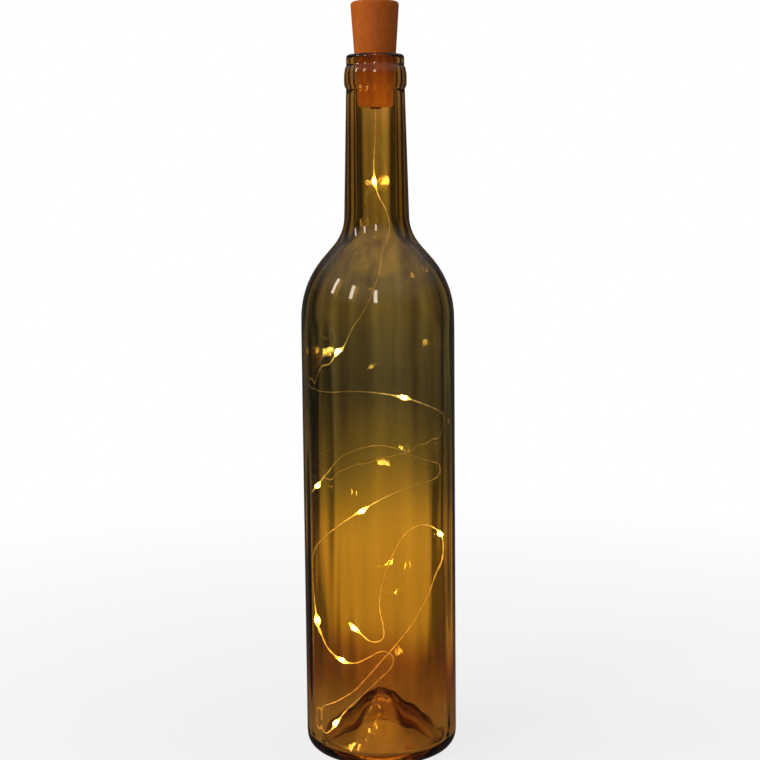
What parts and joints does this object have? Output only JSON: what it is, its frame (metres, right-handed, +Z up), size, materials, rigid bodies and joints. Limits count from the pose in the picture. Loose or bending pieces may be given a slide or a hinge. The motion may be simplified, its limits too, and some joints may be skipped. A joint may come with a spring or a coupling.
{
  "type": "cork bottle light",
  "caption": "Tinted glass wine bottle closed by a tapered cork-shaped stopper with a slide switch and button cells, from which a thin copper wire with warm resin-drop lights hangs inside.",
  "frame": {"origin": "centre of the bottle's base, on the table", "axes": "+Z up along the bottle, -Y towards the viewer in the picture"},
  "size_m": [0.073, 0.073, 0.3586],
  "materials": {
    "bottle_glass": "clear tinted glass, olive amber",
    "cork_plastic": "smooth satin, cork brown",
    "cap_plastic": "satin, cork brown",
    "grommet_rubber": "soft dark brown",
    "sleeve_black": "shrunk sleeve",
    "lead_insulation": "insulated lead",
    "tray_plastic": "moulded, off white",
    "board_green": "lacquered circuit board",
    "resistor_black": "chip resistor",
    "contact_metal": "nickel-plated spring sheet",
    "wire_copper": "lacquered copper",
    "switch_metal": "pressed tinned steel",
    "knob_black": "moulded, ridged",
    "led_chip": "lit chip",
    "led_resin": "clear resin drop, lit",
    "cell_steel": "plated steel"
  },
  "bodies": {
    "bottle": {"bottle": "bottle_glass"},
    "stopper": {"cork_shell": "cork_plastic", "wire_grommet": "grommet_rubber", "splice_sleeve": "sleeve_black", "contact_leads": "lead_insulation", "shell_contact_positive": "contact_metal", "shell_contact_negative": "contact_metal", "light_wire": "wire_copper", "led_chips": "led_chip", "led_bead_01": "led_resin", "led_bead_02": "led_resin", "led_bead_03": "led_resin", "led_bead_04": "led_resin", "led_bead_05": "led_resin", "led_bead_06": "led_resin", "led_bead_07": "led_resin", "led_bead_08": "led_resin", "led_bead_09": "led_resin", "led_bead_10": "led_resin"},
    "insert": {"switch_cap": "cap_plastic", "battery_tray": "tray_plastic", "circuit_board": "board_green", "resistor": "resistor_black", "switch_body": "switch_metal", "positive_contact": "contact_metal", "feed_strip": "contact_metal", "negative_spring": "contact_metal", "cell_1": "cell_steel", "cell_2": "cell_steel", "cell_3": "cell_steel"},
    "switch_knob": {"switch_knob": "knob_black"}
  },
  "joints": [
    {"name": "stopper_lift", "type": "slide", "parent": "bottle", "child": "stopper", "axis": [0, 0, 1], "range_m": [0, 0.026]},
    {"name": "insert_pull", "type": "slide", "parent": "stopper", "child": "insert", "axis": [0, 0, 1], "range_m": [0, 0.03]},
    {"name": "switch_slide", "type": "slide", "parent": "insert", "child": "switch_knob", "axis": [1, 0, 0], "range_m": [0, 0.002]}
  ]
}
